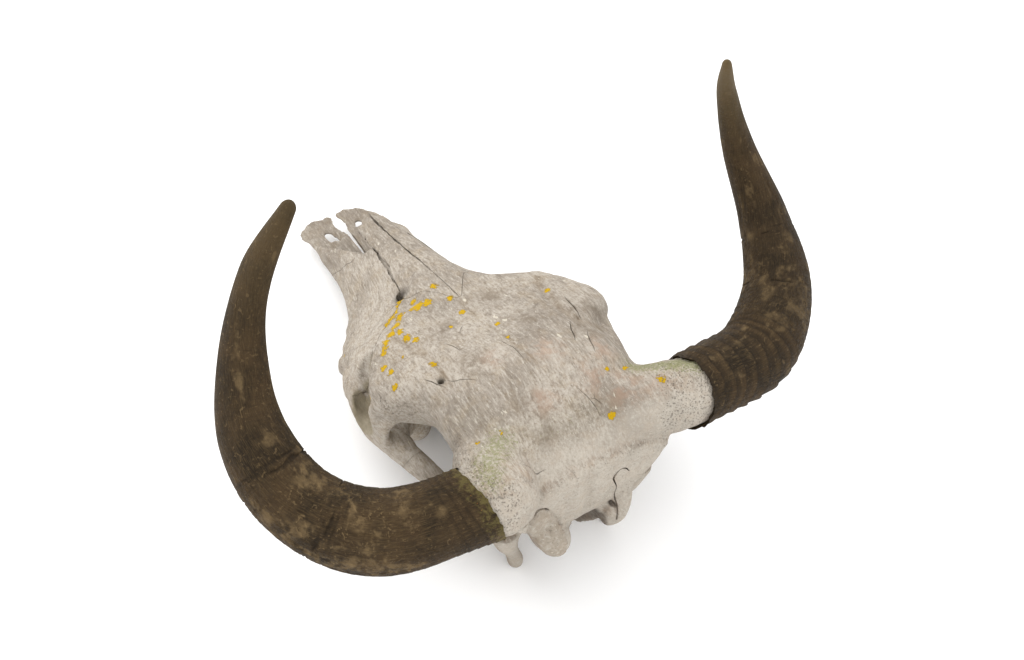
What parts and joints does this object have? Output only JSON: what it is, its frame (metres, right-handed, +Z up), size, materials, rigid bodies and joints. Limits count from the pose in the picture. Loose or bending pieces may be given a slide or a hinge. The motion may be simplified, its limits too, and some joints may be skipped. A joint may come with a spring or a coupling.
{
  "type": "cow skull",
  "caption": "Weathered upper skull of a horned domestic bull or ox, life size, lying on its cheek teeth, with heavy upswept horns and no lower jaw.",
  "frame": {"origin": "on the floor, under the middle of the bounding box of the skull with its horns", "axes": "+Z up, +Y towards the back of the head, +X towards the animal's left side; the nose points to -Y and the horns spread along X"},
  "size_m": [0.5902, 0.5192, 0.3928],
  "materials": {
    "bone": "weathered bare bone, grey-beige, matt, with grey-brown stains and yellow and green lichen",
    "horn": "weathered horn sheath, dark brown with paler flaking scales, matt to dull satin"
  },
  "bodies": {
    "root": {"cranium": "bone", "nasal_left": "bone", "nasal_right": "bone", "premaxilla_left": "bone", "premaxilla_right": "bone", "maxilla_left": "bone", "maxilla_right": "bone", "lacrimal_left": "bone", "lacrimal_right": "bone", "zygomatic_left": "bone", "zygomatic_right": "bone", "horn_sheath_left": "horn", "horn_sheath_right": "horn"}
  },
  "joints": []
}
